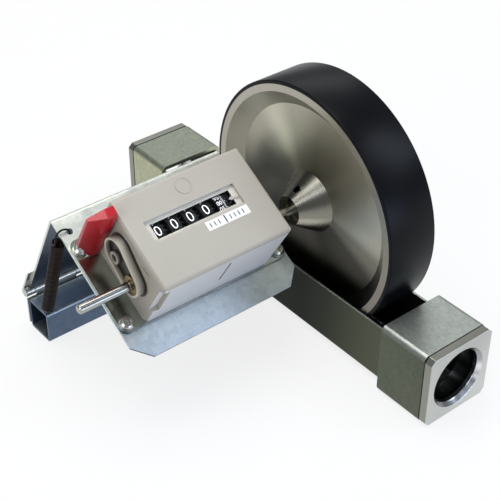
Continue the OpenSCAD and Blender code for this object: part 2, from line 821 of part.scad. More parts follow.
module counter_housing() {
  wall = counter_wall;
  ring = [cm_x - slot_in - 1.4, counter_rear - ring_r - 3.9];
  post_x = [counter_left + wall - over, counter_left + notch_l + 2.5];
  post_v = [wall - counter_front - over, notch_deep + 2.5 - counter_front];
  color("#b5b2ac")
  in_arm()
  difference() {
    union() {
      difference() {
        housing_block(counter_left, counter_right, -counter_front, counter_rear,
          foot_w, counter_above, counter_corner, counter_edge);
        housing_block(inner_left, inner_right, wall - counter_front, counter_rear - wall,
          foot_w - over, inner_top, counter_corner - 1, 0.5);
      }
      translate([post_x[0], post_v[0], foot_w])
      cube([post_x[1] - post_x[0], post_v[1] - post_v[0], inner_top - foot_w + over]);
      translate([ring[0], ring[1], counter_above - over])
      difference() {
        cylinder(h = over + ring_rise, r = ring_r);
        translate([0, 0, over]) cylinder(h = over, r = ring_r - 0.7);
      }
    }
    // Window, bearings and axle seats
    translate([recess_left, opening_front - recess_front, inner_top - over])
    cube([recess_right - recess_left, opening_h + recess_front + recess_rear,
      counter_wall + 2 * over]);
    rod_x(counter_left - over, counter_right + over, bush_r + fixed_gap);
    rod_x(counter_left - over, inner_right + seat_depth, reset_d / 2 + running_gap, lever_c);
    rod_x(inner_left - seat_depth, inner_right + seat_depth, drum_axle_d / 2 + fixed_gap,
      [drum_v, drum_w]);
    rod_x(inner_left - seat_depth, inner_right + seat_depth, pinion_axle_d / 2 + fixed_gap,
      pinion_c);
    // Slot down the front face, notch in its left edge and slot in the left face
    translate([cm_x - slot_in, -counter_front - over, -slot_below])
    cube([slot_w, over + slot_deep, slot_l]);
    translate([counter_left - over, -counter_front - over, -notch_below])
    cube([over + notch_l, over + notch_deep, notch_h]);
    translate([counter_left - over, -0.75 * side_slot_l, side_slot_up])
    cube([over + slot_deep, side_slot_l, slot_w]);
  }
}

module side_boss() {
  color("#8f8c86")
  in_arm()
  difference() {
    union() {
      along_x(boss_x, counter_left)
      circle_pair(boss_front_c, boss_front_r, boss_rear_c, boss_rear_r);
      along_x(counter_left - 1, counter_left)
      circle_pair(boss_front_c, boss_front_r + 1.2, boss_rear_c, boss_rear_r + 1.2);
    }
    difference() {
      along_x(boss_x - over, boss_floor_x)
      circle_pair(boss_front_c, boss_front_r - boss_rim, boss_rear_c, boss_rear_r - boss_rim);
      rod_x(boss_x + 1, boss_floor_x + over, plug_r, plug_c);
    }
    rod_x(boss_x, boss_floor_x, 0.6 * plug_r, plug_c);
    rod_x(boss_x - over, counter_left + over, bush_r + fixed_gap);
  }
}

module window_mask() {
  color("#b5b2ac")
  in_arm()
  translate([0, 0, inner_top - mask_t])
  linear_extrude(mask_t)
  difference() {
    round_rect(recess_left - 1, recess_right + 1, opening_front - recess_front - 1,
      opening_back + recess_rear + 1, 0.5);
    translate([opening_left, opening_front])
    square([opening_right - opening_left, opening_h]);
  }
}

module index_pointer() {
  tip_x = cm_x + drum_band / 2 + 0.9;
  color("#9a9a98")
  in_arm()
  translate([0, 0, inner_top])
  linear_extrude(pointer_t)
  polygon([
    [recess_right - lens_gap, drum_v - 1], [recess_right - lens_gap, drum_v + 1],
    [tip_x + 1.2, drum_v + 1], [tip_x, drum_v], [tip_x + 1.2, drum_v - 1]
  ]);
}

module window_lens() {
  color([0.85, 0.88, 0.9, 0.35])
  in_arm()
  translate([recess_left + lens_gap, opening_front - recess_front + lens_gap,
    inner_top + pointer_t])
  cube([recess_right - recess_left - 2 * lens_gap,
    opening_h + recess_front + recess_rear - 2 * lens_gap, lens_t]);
}

module unit_label() {
  label_x = recess_right - 0.1;
  label_v = opening_front - recess_front - 1.5;
  color("#f2f2f0")
  in_arm()
  translate([0, 0, counter_above])
  linear_extrude(label_t)
  round_rect(label_x - label_l, label_x, label_v - label_h, label_v, 0.3);
}

module shaft_bush(x0, x1) {
  color("#b08d57")
  in_arm()
  difference() {
    rod_x(x0, x1, bush_r);
    rod_x(x0 - over, x1 + over, shaft_d / 2 + running_gap);
  }
}

module left_bush() {
  shaft_bush(boss_floor_x - bush_out, inner_left);
}

module right_bush() {
  shaft_bush(inner_right, counter_right + bush_out / 2);
}

module drum_axle() {
  color("#c8c9c8")
  in_arm()
  rod_x(inner_left - seat_depth, inner_right + seat_depth, drum_axle_d / 2, [drum_v, drum_w]);
}

module pinion_axle() {
  color("#c8c9c8")
  in_arm()
  rod_x(inner_left - seat_depth, inner_right + seat_depth, pinion_axle_d / 2, pinion_c);
}

// ---- Counting train ----

// A gear on the X axis, turned so that its first tooth points at an angle
module gear_x(x0, x1, outline, turn, at) {
  translate([0, at[0], at[1]]) along_x(x0, x1) rotate(turn) polygon(outline);
}

// A number drum; all but the last carry a toothed ring on their right side
module drum(place) {
  x = drum_x(place);
  is_last = place == metre_drums;
  band_end = x + drum_band / 2;
  at = [drum_v, drum_w];
  color("#1a1a1a")
  in_arm()
  difference() {
    union() {
      rod_x(x - drum_band / 2, band_end, drum_r, at);
      if (is_last) {
        gear_x(band_end - over, band_end + drive_gear_w,
          gear_outline(drum_gear_teeth, drive_module, 0.9, 1.15, 0.44),
          drive_angle + 180 + 180 / drum_gear_teeth, at);
      } else {
        gear_x(band_end - over, band_end + carry_ring_w,
          gear_outline(ring_teeth, carry_module, 0.75, 1.1, 0.42),
          pinion_angle + 180 / ring_teeth, at);
      }
    }
    rod_x(x - drum_band, x + drum_band, drum_axle_d / 2 + running_gap, at);
  }
}

module drum_1000() {
  drum(0);
}

module drum_100() {
  drum(1);
}

module drum_10() {
  drum(2);
}

module drum_1() {
  drum(3);
}

module drum_cm() {
  drum(4);
}

// The pinion between a drum and the next lower one
module carry_pinion(place) {
  middle = drum_x(place) + drum_pitch / 2;
  color("#d8d4c8")
  in_arm()
  difference() {
    gear_x(middle - pinion_w / 2, middle + pinion_w / 2,
      gear_outline(pinion_teeth, carry_module, 0.75, 1.1, 0.42), pinion_angle + 180, pinion_c);
    rod_x(middle - pinion_w, middle + pinion_w, pinion_axle_d / 2 + running_gap, pinion_c);
  }
}

module pinion_1000() {
  carry_pinion(0);
}

module pinion_100() {
  carry_pinion(1);
}

module pinion_10() {
  carry_pinion(2);
}

module pinion_1() {
  carry_pinion(3);
}

module drive_gear() {
  gear_end = cm_x + drum_band / 2 + drive_gear_w;
  color("#b08d57")
  in_arm()
  difference() {
    gear_x(gear_end - drive_gear_w + side_gap, gear_end,
      gear_outline(drive_teeth, drive_module, 0.9, 1.15, 0.44), drive_angle, [0, 0]);
    rod_x(gear_end - 2 * drive_gear_w, gear_end + over, shaft_d / 2 + fixed_gap);
  }
}

// ---- Wheel ----

module main_shaft() {
  r = shaft_d / 2;
  end_r = shaft_end_d / 2;
  c = shaft_chamfer;
  long = hub_back_x - stub_x;
  end_long = shaft_stub - shaft_step;
  color("#d6d6d4")
  translate([stub_x, axle_y, axle_z]) rotate([0, 90, 0])
  rotate_extrude()
  polygon([
    [0, 0], [end_r - c, 0], [end_r, c], [end_r, end_long], [r, end_long], [r, long - c],
    [r - c, long], [0, long]
  ]);
}

module wheel_disc() {
  half = wheel_w / 2;
  screw_x0 = -hub_reach + set_screw_in;
  color("#a7a698")
  translate([0, axle_y, axle_z])
  difference() {
    rotate([0, 90, 0])
    rotate_extrude($fn = 180)
    polygon([
      [shaft_d / 2 + fixed_gap, -hub_reach], [hub_tip_r, -hub_reach],
      [hub_base_r, -web_near], [web_outer_r, -web_near],
      [rim_r - rim_face, -half], [rim_r, -half], [rim_r, half], [rim_r - rim_face, half],
      [web_outer_r, web_t - web_near], [hub_base_r, web_t - web_near],
      [hub_base_r - 3, hub_back_x], [shaft_d / 2 + fixed_gap, hub_back_x]
    ]);
    translate([screw_x0, 0, 0]) cylinder(h = hub_base_r, d = set_screw_d + 2 * fixed_gap);
  }
}

module tyre() {
  half = wheel_w / 2;
  e = tyre_round;
  color("#1c1d1f")
  translate([0, axle_y, axle_z]) rotate([0, 90, 0])
  rotate_extrude($fn = 180)
  polygon([
    [rim_r, -half], [wheel_r - e, -half], [wheel_r - 0.3 * e, -half + 0.3 * e],
    [wheel_r, -half + e], [wheel_r, half - e], [wheel_r - 0.3 * e, half - 0.3 * e],
    [wheel_r - e, half], [rim_r, half]
  ]);
}

module set_screw() {
  long = hub_tip_r - shaft_d / 2 - 1;
  color("#4a4a4a")
  translate([-hub_reach + set_screw_in, axle_y, axle_z + shaft_d / 2 + fixed_gap])
  difference() {
    cylinder(h = long, d = set_screw_d);
    translate([0, 0, long / 2]) cylinder(h = long, d = set_screw_d / 2, $fn = 6);
  }
}

// ---- Reset lever ----

// A paddle whose front face falls back towards its free side, with a thin foot
module reset_lever() {
  fall_x = lever_right - 5;
  color("#b3202a")
  in_arm()
  difference() {
    intersection() {
      along_y(lever_front, lever_rear)
      polygon([
        [lever_right, lever_low], [lever_right, lever_top], [lever_right - 3, lever_top],
        [lever_left, lever_top - 4.5], [lever_left + 1, lever_w - 4], [lever_left + 3, lever_w - 6],
        [lever_right - 7.2, lever_low]
      ]);
      along_x(lever_left, lever_right)
      polygon([
        [lever_front, lever_low], [lever_front, lever_top - 2.4],
        [lever_front + 1.2, lever_top - 0.6], [lever_rear - 1, lever_top],
        [lever_rear, lever_top - 1], [lever_rear, lever_w - 6], [lever_front + 2.2, lever_low]
      ]);
      translate([0, 0, lever_low])
      linear_extrude(lever_top - lever_low)
      polygon([
        [lever_right, lever_front], [lever_right, lever_rear], [lever_left, lever_rear],
        [lever_left, lever_rear - 1.7], [fall_x, lever_front]
      ]);
    }
    rod_x(lever_right - lever_seat, lever_right + over, reset_d / 2 + fixed_gap, lever_c);
  }
}

module reset_shaft() {
  color("#c8c9c8")
  in_arm()
  rod_x(lever_right - lever_seat, inner_right + seat_depth - 0.2, reset_d / 2, lever_c);
}

spring_gap = least_apart(spring_path, 5) - wire_d;
echo(spring_gap = spring_gap, spring_rings = len(spring_path));

channel();
near_end_box();
far_end_box();
near_guide_bush();
far_guide_bush();
cross_tube();
hinge_leaf_tube();
hinge_pin();
pressure_spring();
hinge_leaf_arm();
swing_bracket();
counter_base_plate();
plate_screws();
plate_washers();
plate_nuts();
counter_housing();
side_boss();
window_mask();
window_lens();
index_pointer();
unit_label();
left_bush();
right_bush();
drum_axle();
pinion_axle();
drum_1000();
drum_100();
drum_10();
drum_1();
drum_cm();
pinion_1000();
pinion_100();
pinion_10();
pinion_1();
main_shaft();
wheel_disc();
tyre();
set_screw();
drive_gear();
reset_lever();
reset_shaft();
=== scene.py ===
import json
import math

import bmesh
import bpy
from mathutils import Matrix, Vector

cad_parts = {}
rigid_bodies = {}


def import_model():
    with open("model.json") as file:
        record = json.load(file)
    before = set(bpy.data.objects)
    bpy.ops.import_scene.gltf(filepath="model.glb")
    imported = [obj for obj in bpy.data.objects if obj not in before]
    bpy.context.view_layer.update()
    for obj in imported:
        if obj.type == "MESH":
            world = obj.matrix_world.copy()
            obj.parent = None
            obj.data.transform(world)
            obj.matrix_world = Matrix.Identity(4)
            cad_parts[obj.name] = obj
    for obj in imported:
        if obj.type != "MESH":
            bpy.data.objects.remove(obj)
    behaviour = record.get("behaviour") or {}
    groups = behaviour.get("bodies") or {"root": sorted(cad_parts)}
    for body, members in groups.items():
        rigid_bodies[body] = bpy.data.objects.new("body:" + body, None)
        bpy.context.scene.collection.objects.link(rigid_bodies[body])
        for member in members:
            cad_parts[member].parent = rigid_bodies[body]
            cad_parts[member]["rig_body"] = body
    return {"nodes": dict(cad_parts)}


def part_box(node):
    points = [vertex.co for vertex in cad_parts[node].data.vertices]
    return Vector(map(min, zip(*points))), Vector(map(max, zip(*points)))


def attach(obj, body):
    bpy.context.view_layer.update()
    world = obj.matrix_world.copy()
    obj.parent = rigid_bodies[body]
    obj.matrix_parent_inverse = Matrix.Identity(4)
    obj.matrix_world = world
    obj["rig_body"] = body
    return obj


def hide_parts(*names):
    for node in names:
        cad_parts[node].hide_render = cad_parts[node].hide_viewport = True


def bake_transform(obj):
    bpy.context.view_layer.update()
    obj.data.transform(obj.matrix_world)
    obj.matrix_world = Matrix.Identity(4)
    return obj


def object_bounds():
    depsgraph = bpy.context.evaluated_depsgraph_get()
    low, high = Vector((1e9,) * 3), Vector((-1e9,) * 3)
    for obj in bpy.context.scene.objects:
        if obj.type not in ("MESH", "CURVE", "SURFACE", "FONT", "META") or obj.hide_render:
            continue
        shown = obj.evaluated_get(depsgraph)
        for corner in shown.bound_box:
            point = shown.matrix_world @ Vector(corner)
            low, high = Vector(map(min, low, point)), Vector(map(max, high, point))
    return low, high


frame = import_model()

cad_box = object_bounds()


# ---- Camera ----
# The camera stands where the photograph was taken from, in front and to the left of the near
# box, looking down on the counter. Its lens is a short telephoto one.
MM = 0.001
camera_place = Vector((-424.9, -336.5, 482.5)) * MM
camera_turn, camera_tilt, camera_roll = (math.radians(a) for a in (-39.07, 36.64, 0.09))
camera_lens_mm = 87.7
film_width_mm = 36
nearest_seen = 10 * MM

forward = Vector((-math.sin(camera_turn) * math.cos(camera_tilt),
                  math.cos(camera_turn) * math.cos(camera_tilt),
                  -math.sin(camera_tilt)))
level_right = Vector((math.cos(camera_turn), math.sin(camera_turn), 0))
level_up = level_right.cross(forward)
right = level_right * math.cos(camera_roll) + level_up * math.sin(camera_roll)
up = level_up * math.cos(camera_roll) - level_right * math.sin(camera_roll)
camera_axes = Matrix((right, up, -forward)).transposed()
camera = bpy.data.objects.new("camera", bpy.data.cameras.new("camera"))
camera.data.lens = camera_lens_mm
camera.data.sensor_width = film_width_mm
camera.data.clip_start = nearest_seen
camera.matrix_world = Matrix.Translation(camera_place) @ camera_axes.to_4x4()
bpy.context.scene.collection.objects.link(camera)
bpy.context.scene.camera = camera


# ---- Floor, backdrop and light ----
# A pale floor under the counter, and soft boxes above, to the left and behind, as for a product
# picture. The camera and mirrors see the floor as near white.
bpy.context.scene.view_settings.view_transform = "Standard"


def paint(code):
    """A colour written as sRGB hex, in the linear values that a shader takes."""
    parts = [int(code[i:i + 2], 16) / 255 for i in (1, 3, 5)]
    return tuple(c / 12.92 if c <= 0.04045 else ((c + 0.055) / 1.055) ** 2.4 for c in parts) + (1,)


def feed(tree, value, socket):
    """Gives an input either a link or a value of its own."""
    if isinstance(value, bpy.types.NodeSocket):
        tree.links.new(value, socket)
    else:
        socket.default_value = value


def add_node(tree, kind, values=(), **settings):
    """A new shader node with its settings and with what its inputs take, in order or by name."""
    made = tree.nodes.new(kind)
    for setting, value in settings.items():
        setattr(made, setting, value)
    for label, value in values.items() if isinstance(values, dict) else enumerate(values):
        feed(tree, value, made.inputs[label])
    return made


def emptied_tree(owner):
    """The shader tree of a material or a world, with nothing in it."""
    owner.use_nodes = True
    owner.node_tree.nodes.clear()
    return owner.node_tree


def make_piece(name, bm, crease=None):
    """An object from a bmesh, with its place in its mesh. Edges over the crease angle, in degrees,
    stay sharp."""
    piece = bpy.data.objects.new(name, bpy.data.meshes.new(name))
    bm.to_mesh(piece.data)
    bm.free()
    if crease:
        piece.data.set_sharp_from_angle(angle=math.radians(crease))
    bpy.context.scene.collection.objects.link(piece)
    return piece


floor_reach = 6
floor_gap = 0.2 * MM
bm = bmesh.new()
bmesh.ops.create_grid(bm, x_segments=1, y_segments=1, size=floor_reach)
bmesh.ops.translate(bm, verts=bm.verts, vec=(0, 0, cad_box[0][2] - floor_gap))
floor = make_piece("floor", bm)

near_reach, far_reach = 0.25, 1.1
near_white, far_white = 0.8, 1.0
pale_floor = bpy.data.materials.new("pale_floor")
tree = emptied_tree(pale_floor)
path = add_node(tree, "ShaderNodeLightPath")
rays = [path.outputs[label] for label in ("Is Camera Ray", "Is Transmission Ray", "Is Glossy Ray")]
mirrored = add_node(tree, "ShaderNodeMath", rays[1:], operation="MAXIMUM")
seen = add_node(tree, "ShaderNodeMath", (rays[0], mirrored.outputs[0]), operation="MAXIMUM")
place = add_node(tree, "ShaderNodeTexCoord")
away = add_node(tree, "ShaderNodeVectorMath", (place.outputs["Object"],), operation="LENGTH")
reach = {"Value": away.outputs["Value"], "From Min": near_reach, "From Max": far_reach,
         "To Min": near_white, "To Max": far_white}
whiter = add_node(tree, "ShaderNodeMapRange", reach, interpolation_type="SMOOTHSTEP")
share = add_node(tree, "ShaderNodeMath", (seen.outputs[0], whiter.outputs[0]), operation="MULTIPLY")
matt = add_node(tree, "ShaderNodeBsdfDiffuse", {"Color": paint("#e8e8e8")})
glow = add_node(tree, "ShaderNodeEmission", {"Strength": 1.0})
both = add_node(tree, "ShaderNodeMixShader", (share.outputs[0], matt.outputs[0], glow.outputs[0]))
add_node(tree, "ShaderNodeOutputMaterial", {"Surface": both.outputs[0]})
floor.data.materials.append(pale_floor)

studio = bpy.data.worlds.new("studio")
bpy.context.scene.world = studio
tree = emptied_tree(studio)
path = add_node(tree, "ShaderNodeLightPath")
room = add_node(tree, "ShaderNodeBackground", {"Color": paint("#dfe3ea"), "Strength": 0.4})
white = add_node(tree, "ShaderNodeBackground", {"Color": (1, 1, 1, 1)})
both = add_node(tree, "ShaderNodeMixShader", (path.outputs["Is Camera Ray"], room.outputs[0],
                                              white.outputs[0]))
add_node(tree, "ShaderNodeOutputWorld", {"Surface": both.outputs[0]})


def soft_box(name, place, aim, width, height, power, tint):
    """An area lamp at a place, turned to a point."""
    lamp = bpy.data.objects.new(name, bpy.data.lights.new(name, "AREA"))
    lamp.data.shape = "RECTANGLE"
    lamp.data.size = width
    lamp.data.size_y = height
    lamp.data.energy = power
    lamp.data.color = paint(tint)[:3]
    lamp.location = place
    lamp.rotation_euler = (Vector(aim) - Vector(place)).to_track_quat("-Z", "Y").to_euler()
    bpy.context.scene.collection.objects.link(lamp)


lit_point = (-0.05, 0.13, 0.03)
for name, place, width, height, power, tint in (
        ("lamp_above", (-0.15, 0.35, 1.3), 1.1, 0.8, 13, "#ffffff"),
        ("lamp_behind", (0.75, 1.1, 0.95), 0.9, 0.6, 2.6, "#ffffff"),
        ("lamp_left", (-1.2, -0.25, 0.75), 0.7, 0.9, 7, "#f4f7ff"),
        ("lamp_right", (0.8, -0.5, 0.9), 0.5, 0.7, 5, "#e6f0ff"),
        ("lamp_front", (0.3, -1.3, 0.12), 0.9, 0.5, 7, "#c8dcff")):
    soft_box(name, place, lit_point, width, height, power, tint)


# ---- Zinc-coated sheet: channel, end boxes, cross tube, bracket and base plate ----
# Steel sheet with a zinc coat, whose crystals show as a soft mottle, and with lightly broken
# edges. The channel is folded, and the boxes and the cross tube are cut from square tube. The
# faces carry painted light and shade by the way they face: mostly a dark olive painted shade on
# the upright sides and painted light on the tops.
nodes = frame["nodes"]


def shader_group(name, numbers):
    """A shader group that takes a light and a dark colour, a smooth and a rough value and its own
    numbers, and puts out a colour, a roughness and a height."""
    group = bpy.data.node_groups.new(name, "ShaderNodeTree")
    sockets = {"Light": (1, 1, 1, 1), "Dark": (0, 0, 0, 1), "Smooth": 0.3, "Rough": 0.5, **numbers}
    for label, value in sockets.items():
        kind = "NodeSocketColor" if isinstance(value, tuple) else "NodeSocketFloat"
        group.interface.new_socket(label, in_out="INPUT", socket_type=kind).default_value = value
    for label, kind in (("Colour", "NodeSocketColor"), ("Roughness", "NodeSocketFloat"),
                        ("Height", "NodeSocketFloat")):
        group.interface.new_socket(label, in_out="OUTPUT", socket_type=kind)
    return group, group.nodes.new("NodeGroupInput"), group.nodes.new("NodeGroupOutput")


def texture(group, kind, scale, detail=None):
    """A noise or Voronoi texture on the object's own coordinates."""
    place = add_node(group, "ShaderNodeTexCoord")
    made = add_node(group, kind, {"Vector": place.outputs["Object"], "Scale": scale})
    if detail is not None:
        made.inputs["Detail"].default_value = detail
    return made


def weigh(group, first, share, second):
    """share of the first value and the rest of the second one."""
    rest = add_node(group, "ShaderNodeMath", (second, 1 - share), operation="MULTIPLY")
    both = add_node(group, "ShaderNodeMath", (first, share, rest.outputs[0]), operation="MULTIPLY_ADD")
    return both.outputs[0]


def spread(group, source, result, amount, height):
    """Puts out the colour and the roughness between their two ends, and the height."""
    for label, kind, low, high in (("Colour", "RGBA", "Dark", "Light"),
                                   ("Roughness", "FLOAT", "Smooth", "Rough")):
        ends = {"Factor": amount, "A": source.outputs[low], "B": source.outputs[high]}
        mix = add_node(group, "ShaderNodeMix", ends, data_type=kind)
        feed(group, mix.outputs["Result"], result.inputs[label])
    feed(group, height, result.inputs["Height"])


spangle, source, result = shader_group("zinc_spangle", {"Flakes per metre": 400.0})
flakes = texture(spangle, "ShaderNodeTexVoronoi", source.outputs["Flakes per metre"])
grey = add_node(spangle, "ShaderNodeRGBToBW", (flakes.outputs["Color"],))
specks = texture(spangle, "ShaderNodeTexNoise", 900, 2)
clouds = texture(spangle, "ShaderNodeTexNoise", 30, 3)
crystals = weigh(spangle, grey.outputs[0], 0.45, specks.outputs[0])
spread(spangle, source, result, weigh(spangle, crystals, 0.6, clouds.outputs[0]), specks.outputs[0])


def tinted(tree, colour, tint):
    """One colour multiplied by another."""
    mix = add_node(tree, "ShaderNodeMix", {"Factor": 1.0, "A": colour, "B": tint},
                   data_type="RGBA", blend_type="MULTIPLY")
    return mix.outputs["Result"]


def surface(name, group, light, dark, smooth, rough, metallic=0.0, relief=(0.2, 0.05), toned=False, **values):
    """A material whose colour, roughness and relief come from one of the groups. relief is the
    bump's strength and its height in mm. A toned one takes on the tones of painted light and shade
    that its piece carries."""
    made = bpy.data.materials.new(name)
    made.use_nodes = True
    tree = made.node_tree
    shader = tree.nodes["Principled BSDF"]
    values.update(Light=paint(light), Dark=paint(dark), Smooth=smooth, Rough=rough)
    named = {label.replace("_", " "): value for label, value in values.items()}
    skin = add_node(tree, "ShaderNodeGroup", named, node_tree=group)
    colour = skin.outputs["Colour"]
    if toned:
        tones = add_node(tree, "ShaderNodeAttribute", attribute_name="tone")
        colour = tinted(tree, colour, tones.outputs["Color"])
    bump = add_node(tree, "ShaderNodeBump", {"Strength": relief[0], "Distance": relief[1] * MM,
                                             "Height": skin.outputs["Height"]})
    for label, value in (("Metallic", metallic), ("Base Color", colour),
                         ("Roughness", skin.outputs["Roughness"]), ("Normal", bump.outputs["Normal"])):
        feed(tree, value, shader.inputs[label])
    return made


joined_within = 0.002 * MM
flat_within, edge_over, crease_over = 0.6, 35, 50


def dress(node, materials, slot, edge, tone=None, pick=None, cuts=()):
    """A copy of a CAD node with its triangles joined and its sharp edges broken, in its place.
    tone gives a colour, painted light and shade, for a point and its face's normal; pick gives the
    number of the face's material; cuts are planes, as points and normals, that give the tones more
    places."""
    source = nodes[node]
    bm = bmesh.new()
    bm.from_mesh(source.data)
    bmesh.ops.remove_doubles(bm, verts=bm.verts, dist=joined_within)
    bmesh.ops.dissolve_limit(bm, angle_limit=math.radians(flat_within), verts=bm.verts, edges=bm.edges,
                             delimit={"NORMAL"})
    edges = [e for e in bm.edges if len(e.link_faces) == 2 and e.calc_face_angle(0) > math.radians(edge_over)]
    bmesh.ops.bevel(bm, geom=edges, offset=edge * MM, offset_type="OFFSET", segments=2,
                    profile=0.5, affect="EDGES", clamp_overlap=True, material=-1)
    bmesh.ops.triangulate(bm, faces=[f for f in bm.faces if len(f.verts) > 4])
    for point, normal in cuts:
        bmesh.ops.bisect_plane(bm, geom=bm.verts[:] + bm.edges[:] + bm.faces[:], dist=1e-7,
                               plane_co=point, plane_no=normal)
    layer = bm.loops.layers.float_color.new("tone") if tone else None
    for face in bm.faces:
        face.smooth = True
        if pick:
            face.material_index = pick(face.calc_center_median(), face.normal)
        if tone:
            for corner in face.loops:
                corner[layer] = tuple(tone(corner.vert.co, face.normal)) + (1,)
    piece = make_piece(node + "_" + slot, bm, crease_over)
    even = piece.modifiers.new("even_shading", "WEIGHTED_NORMAL")
    even.keep_sharp = True
    even.weight = 80
    for made in materials:
        piece.data.materials.append(made)
    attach(piece, source["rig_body"])
    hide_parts(node)


def between(value, low, high):
    """How far a value has come from low to high, from 0 to 1."""
    return min(1.0, max(0.0, (value - low) / (high - low)))


def shade(first, second, share):
    """A tone on the way from the first one to the second one."""
    return tuple(a + (b - a) * share for a, b in zip(first, second))


painted_right_shade = (0.42, 0.44, 0.4)


def dulled(far_side, near_side, top, far_y, near_y, shaded_rear=False):
    """A rule for painted light and shade: painted shade on left sides that changes from a far to a
    near place, given in mm, painted shade on right sides, and on rear faces where asked, and a
    painted tint on top by how much the face looks up."""
    def tone(point, normal):
        side = shade(far_side, near_side, between(point.y, far_y * MM, near_y * MM))
        if normal.x > 0.3 or (shaded_rear and normal.y > 0.5):
            side = painted_right_shade
        return shade(side, top, between(normal.z, 0.1, 0.9))
    return tone


def blued(point, normal):
    """Painted light and shade of the bracket and the base plate: painted dark blue shade on faces
    turned down and forward, as inside the leg, and elsewhere a painted tint from a cool light in
    front to a warm light at the roof's rear left corner.
    """
    if normal.z < 0 and normal.y < 0:
        return shade((0.13, 0.16, 0.22), (0.23, 0.27, 0.34), between(point.z, 0, 70 * MM))
    return shade((0.85, 0.95, 1.05), (1.1, 1.07, 0.9), between(point.y, 80 * MM, 150 * MM))


channel_zinc = surface("channel_zinc", spangle, "#c2c3c1", "#a2a4a3", 0.36, 0.5, 1.0, relief=(0.05, 0.02),
                       toned=True)
box_zinc = surface("box_zinc", spangle, "#dfe3dc", "#8d928b", 0.36, 0.48, 1.0, relief=(0.15, 0.03),
                   toned=True, Flakes_per_metre=520.0)
plate_zinc = surface("plate_zinc", spangle, "#c2c7c8", "#888e91", 0.12, 0.26, 1.0, relief=(0.03, 0.01),
                     toned=True, Flakes_per_metre=300.0)
sheet_zinc = surface("sheet_zinc", spangle, "#e6eaef", "#98a1ab", 0.3, 0.46, 1.0, relief=(0.05, 0.02),
                     toned=True, Flakes_per_metre=300.0)
sheet_edge = 0.25
# Painted light and shade for each piece: shade on the left sides, on the channel darker towards its far end,
# shade on the right sides, and a tint on the tops.
channel_tone = dulled((0.012, 0.02, 0.012), (0.19, 0.205, 0.135), (0.85, 0.87, 0.82), 100, 42)
near_box_tone = dulled((0.2, 0.22, 0.17), (0.2, 0.21, 0.17), (0.78, 0.79, 0.78), 40, 0)
far_box_tone = dulled((0.85, 0.83, 0.62), (0.85, 0.83, 0.62), (0.5, 0.52, 0.45), 300, 250, shaded_rear=True)
tube_tone = dulled((0.17, 0.22, 0.3), (0.17, 0.22, 0.3), (1.0, 1.05, 1.05), 300, 0, shaded_rear=True)
tone_steps = [((0, y * MM, 0), (0, 1, 0)) for y in range(30, 270, 20)]
dress("channel", [channel_zinc], "zinc", sheet_edge, channel_tone, cuts=tone_steps)
for node, made, tone in (("near_end_box", box_zinc, near_box_tone), ("far_end_box", box_zinc, far_box_tone),
                         ("cross_tube", sheet_zinc, tube_tone), ("swing_bracket", sheet_zinc, blued),
                         ("counter_base_plate", plate_zinc, blued)):
    dress(node, [made], "zinc", sheet_edge, tone)


# ---- Turned aluminium: guide bushes and wheel disc ----
# Turned parts. Their flat faces carry fine rings from the tool, and painted highlights and
# painted shade in a few sectors round the axis. The wheel's web has gone slightly olive, and the
# bushes' bores carry painted highlights in streaks.
turned, source, result = shader_group("turned_rings", {"Rings per metre": 2200.0, "Radius": 0.0})
rings = add_node(turned, "ShaderNodeTexNoise", {"Scale": source.outputs["Rings per metre"], "Detail": 3,
                                                "W": source.outputs["Radius"]}, noise_dimensions="1D")
clouds = texture(turned, "ShaderNodeTexNoise", 35, 5)
spread(turned, source, result, weigh(turned, rings.outputs[0], 0.5, clouds.outputs[0]), rings.outputs[0])


def turned_metal(name, light, dark, smooth, rough, centre, across, sectors, toned=False):
    """A lathe-turned metal with painted highlights and painted shade. sectors are pairs of an angle in
    degrees and a painted brightness, round a centre line; across is the level axis that the line
    isn't along."""
    made = surface(name, turned, light, dark, smooth, rough, 1.0, relief=(0.2, 0.02), toned=toned)
    tree = made.node_tree
    shader = tree.nodes["Principled BSDF"]
    skin = next(n for n in tree.nodes if n.type == "GROUP")
    place = add_node(tree, "ShaderNodeTexCoord")
    offset = add_node(tree, "ShaderNodeVectorMath", (place.outputs["Object"], centre), operation="SUBTRACT")
    split = add_node(tree, "ShaderNodeSeparateXYZ", (offset.outputs[0],))
    reach = add_node(tree, "ShaderNodeCombineXYZ", (split.outputs[across], split.outputs["Z"]))
    radius = add_node(tree, "ShaderNodeVectorMath", (reach.outputs[0],), operation="LENGTH")
    feed(tree, radius.outputs["Value"], skin.inputs["Radius"])
    angle = add_node(tree, "ShaderNodeMath", (split.outputs["Z"], split.outputs[across]), operation="ARCTAN2")
    turn = add_node(tree, "ShaderNodeMapRange", {"Value": angle.outputs[0], "From Min": -math.pi,
                                                 "From Max": math.pi})
    ramp = add_node(tree, "ShaderNodeValToRGB", (turn.outputs[0],))
    ramp.color_ramp.interpolation = "EASE"
    stops = sorted(((a + 180) % 360 / 360, b) for a, b in sectors)
    while len(ramp.color_ramp.elements) < len(stops):
        ramp.color_ramp.elements.new(0.5)
    for element, (at, bright) in zip(ramp.color_ramp.elements, stops):
        element.position = at
        element.color = (bright, bright, bright, 1)
    plain = shader.inputs["Base Color"].links[0].from_socket
    feed(tree, tinted(tree, plain, ramp.outputs[0]), shader.inputs["Base Color"])
    return made


